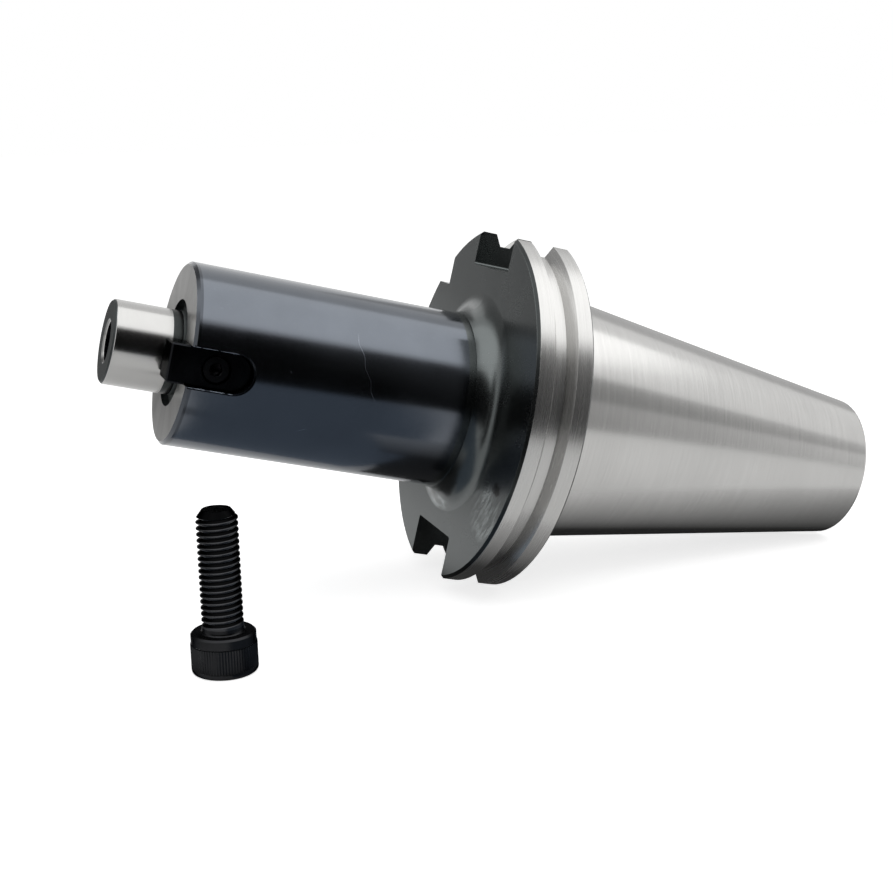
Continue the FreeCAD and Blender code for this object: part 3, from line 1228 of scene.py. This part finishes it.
@dataclass(frozen=True)
class Card:
    """A card that only reflections see, from its lowest corner to its highest, in metres.

    It stands along X or Y, or it lies, and then its far edge may have ends of its own. It looks as
    bright as its shades say at its two ends, 0 for black.
    """

    name: str
    low: Point3
    high: Point3
    shades: Point
    way: Way = Way.X
    far_ends: Optional[Point] = None
    tint: Colour = WHITE

    def corners(self) -> list[list[float]]:
        """Lay the card out.

        Returns:
            Its four corners, in a plane's order.
        """
        across, up = (axis for axis in range(3) if self.low[axis] != self.high[axis])
        found = []
        for end in (self.low, self.high):
            for side in (self.low, self.high):
                corner = list(self.low)
                corner[across], corner[up] = side[across], end[up]
                found.append(corner)
        if self.far_ends:
            found[2][0], found[3][0] = self.far_ends
        return found

    def build(self) -> Piece:
        """Make the card.

        Returns:
            The card.
        """
        obj = new_plane(self.name, 1)
        corners, axis = self.corners(), self.way.value
        for vertex, corner in zip(obj.data.vertices, corners):
            vertex.co = corner
        material, nodes = new_material(self.name)
        start, end = (pick(corner[axis] for corner in corners) for pick in (min, max))
        run = (nodes.split(nodes.place())[axis] - start) / (end - start)
        first, last = (opaque(self.tint, shade) for shade in self.shades)
        nodes.show(nodes.emission(nodes.mix(run, first, last)))
        obj.data.materials.append(material)
        obj.visible_camera = obj.visible_diffuse = obj.visible_shadow = False
        obj.visible_transmission = obj.visible_volume_scatter = False
        return obj


@dataclass
class Studio:
    """A pale floor, a white world, one soft lamp overhead and cards that only reflections see, some of them
    painted shadow and shade on the floor.
    """

    floor_half: float = 3.0
    floor_colour: Colour = (0.82, 0.82, 0.82)
    floor_glow: float = 0.75
    floor_gloss: float = 0.30
    world_light: float = 0.35
    lamp_place: Point3 = (0.10, -0.075, 0.62)
    lamp_size: Point = (1.45, 0.75)
    lamp_radiance: float = 0.91
    cards: tuple[Card, ...] = (
        Card("dark_card", (-0.40, -0.26, 0.0), (0.05, -0.26, 0.33), (0.004, 0.01)),
        Card("dark_card_right", (0.05, -0.26, 0.0), (0.20, -0.26, 0.33), (0.01, 0.16)),
        Card("grey_card_low", (0.20, -0.26, 0.0), (0.60, -0.26, 0.13), (0.40, 0.95)),
        Card("grey_card_high", (0.20, -0.26, 0.13), (0.80, -0.26, 0.31), (0.22, 0.75)),
        Card("back_card_foot", (-0.335, 0.80, 0.0), (-0.15, 0.80, 0.04), (0.33, 0.33)),
        Card("back_card_strip", (-0.335, 0.80, 0.04), (-0.15, 0.80, 0.09), (0.95, 0.95)),
        Card("back_card_dark", (-1.30, 0.80, 0.0), (-0.335, 0.80, 0.10), (0.01, 0.01)),
        Card("back_card_left", (-1.30, 0.80, 0.09), (-0.20, 0.80, 1.00), (0.29, 0.29)),
        Card("back_card_right", (0.35, 0.80, 0.0), (1.80, 0.80, 0.60), (0.55, 0.55)),
        Card("left_card", (-0.42, -0.26, 0.0), (-0.42, -0.09, 0.45), (0.004, 0.02), Way.Y),
        Card("left_strip", (-0.42, 0.12, 0.0), (-0.42, 0.23, 0.26), (0.03, 0.03), Way.Y),
        Card("flag_left", (-0.42, -0.14, FLAG_Z), (-0.15, -0.05, FLAG_Z), (0.04, 0.04), Way.Y),
        # painted shadow: the arbor's shadow on the floor as reflections see it, under the body (tinted
        # blue), the flange and the taper
        Card("shadow_card_under_body", (-0.068, -0.259, FLAG_Z), (0.050, 0.02, FLAG_Z), (0.30, 0.30), Way.Y,
             far_ends=(-0.098, -0.045), tint=(0.70, 0.83, 1.0)),
        Card("shadow_card_under_flange", (-0.038, -0.050, FLAG_Z), (0.008, -0.022, FLAG_Z), (0.62, 0.06), Way.Y),
        Card("shadow_card_at_flange", (-0.038, -0.022, FLAG_Z), (0.008, 0.030, FLAG_Z), (0.05, 0.05), Way.Y),
        Card("shadow_card_under_taper", (0.008, -0.036, FLAG_Z), (0.13, -0.004, FLAG_Z), (0.74, 0.02), Way.Y),
        Card("shadow_card_at_taper", (0.008, -0.004, FLAG_Z), (0.13, 0.030, FLAG_Z), (0.02, 0.02), Way.Y),
        # painted shade: the floor behind the arbor, dimmer where the lamp's light falls off, as reflections
        # see it
        Card("shade_card_behind", (-0.60, 0.27, FLAG_Z), (-0.05, 0.55, FLAG_Z), (0.62, 0.28), Way.Y),
        Card("shade_card_far_behind", (-0.60, 0.55, FLAG_Z), (-0.05, 0.80, FLAG_Z), (0.28, 0.28), Way.Y),
    )

    @staticmethod
    def seen_rays(nodes: NodeMaker) -> tuple[Field, Field]:
        """Mask the rays that look at the background.

        Args:
            nodes: The maker of the nodes.

        Returns:
            The masks of the rays from the camera, and of those in gloss and glass.
        """
        path = nodes.node("ShaderNodeLightPath", {}, {})
        camera = Field(nodes, path.outputs["Is Camera Ray"])
        glossy = Field(nodes, path.outputs["Is Glossy Ray"])
        return camera, glossy | Field(nodes, path.outputs["Is Transmission Ray"])

    def floor(self) -> Piece:
        """Lay the floor.

        Returns:
            The floor, which reads as white and keeps the arbor's shadow.
        """
        obj = new_plane("floor", 2 * self.floor_half)
        material, nodes = new_material("pale_floor")
        camera, gloss = self.seen_rays(nodes)
        tone = nodes.mix(camera * self.floor_glow + gloss * self.floor_gloss, opaque(BLACK), opaque(WHITE))
        diffuse = nodes.node("ShaderNodeBsdfDiffuse", {}, {"Color": opaque(self.floor_colour)})
        both = nodes.node("ShaderNodeAddShader", {}, {0: diffuse.outputs[0], 1: nodes.emission(tone)})
        nodes.show(both.outputs[0])
        obj.data.materials.append(material)
        return obj

    def world(self) -> None:
        """Make the world white where it is seen, and a plain soft light elsewhere."""
        world = bpy.data.worlds.new("white")
        bpy.context.scene.world = world
        world.use_nodes = True
        nodes = NodeMaker(world.node_tree)
        camera, gloss = self.seen_rays(nodes)
        seen = {0: camera | gloss}
        for socket, strength in ((1, self.world_light), (2, 1.0)):
            light = nodes.node("ShaderNodeBackground", {}, {"Color": opaque(WHITE), "Strength": strength})
            seen[socket] = light.outputs[0]
        nodes.show(nodes.node("ShaderNodeMixShader", {}, seen).outputs[0], "ShaderNodeOutputWorld")

    def lamp(self) -> None:
        """Hang the soft rectangular lamp that shines straight down."""
        light = bpy.data.lights.new("soft_overhead", "AREA")
        light.shape = "RECTANGLE"
        light.size, light.size_y = self.lamp_size
        light.energy = self.lamp_radiance * math.pi * light.size * light.size_y
        obj = bpy.data.objects.new("soft_overhead", light)
        obj.location = self.lamp_place
        bpy.context.scene.collection.objects.link(obj)

    def build(self) -> None:
        """Set up the floor, the world, the lamp and the cards."""
        self.world()
        self.lamp()
        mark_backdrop(self.floor(), *(card.build() for card in self.cards))


@dataclass
class Viewpoint:
    """The camera, where the photo was taken from. Lengths are in millimetres, the turn in degrees."""

    place: Point3 = (-154.427, -403.143, 136.930)
    turn: Point3 = (76.94899, 1.39548, -19.02229)
    lens: float = 64.166
    sensor: float = 36.0
    nearest: float = 10.0

    def build(self) -> None:
        """Make the camera and set it."""
        camera = bpy.data.cameras.new("camera")
        camera.lens = self.lens
        camera.sensor_width = self.sensor
        camera.sensor_fit = "HORIZONTAL"
        camera.clip_start = self.nearest * MM
        obj = bpy.data.objects.new("camera", camera)
        obj.location = Vector(self.place) * MM
        obj.rotation_euler = Euler([math.radians(angle) for angle in self.turn], "XYZ")
        bpy.context.scene.collection.objects.link(obj)
        bpy.context.scene.camera = obj


def corners(box: Sequence[Vector]) -> list[list[float]]:
    """Give a box's two corners as plain lists."""
    return [[float(value) for value in corner] for corner in box]


def main() -> None:
    """Build every piece in order and report it."""
    bpy.context.scene.view_settings.view_transform = "Standard"
    cad_box = corners(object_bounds())
    Viewpoint().build()
    Studio().build()
    log.info("dressed %s", Arbor(ArborAxes()).build().name)
    for piece in DriveKeys().build():
        log.info("dressed %s", piece.name)
    screw = CutterScrew().build()
    log.info("built %s with %d faces", screw.name, len(screw.data.polygons))
    {"cad": cad_box, "visual": corners(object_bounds())}


if __name__ == "__main__":
    main()
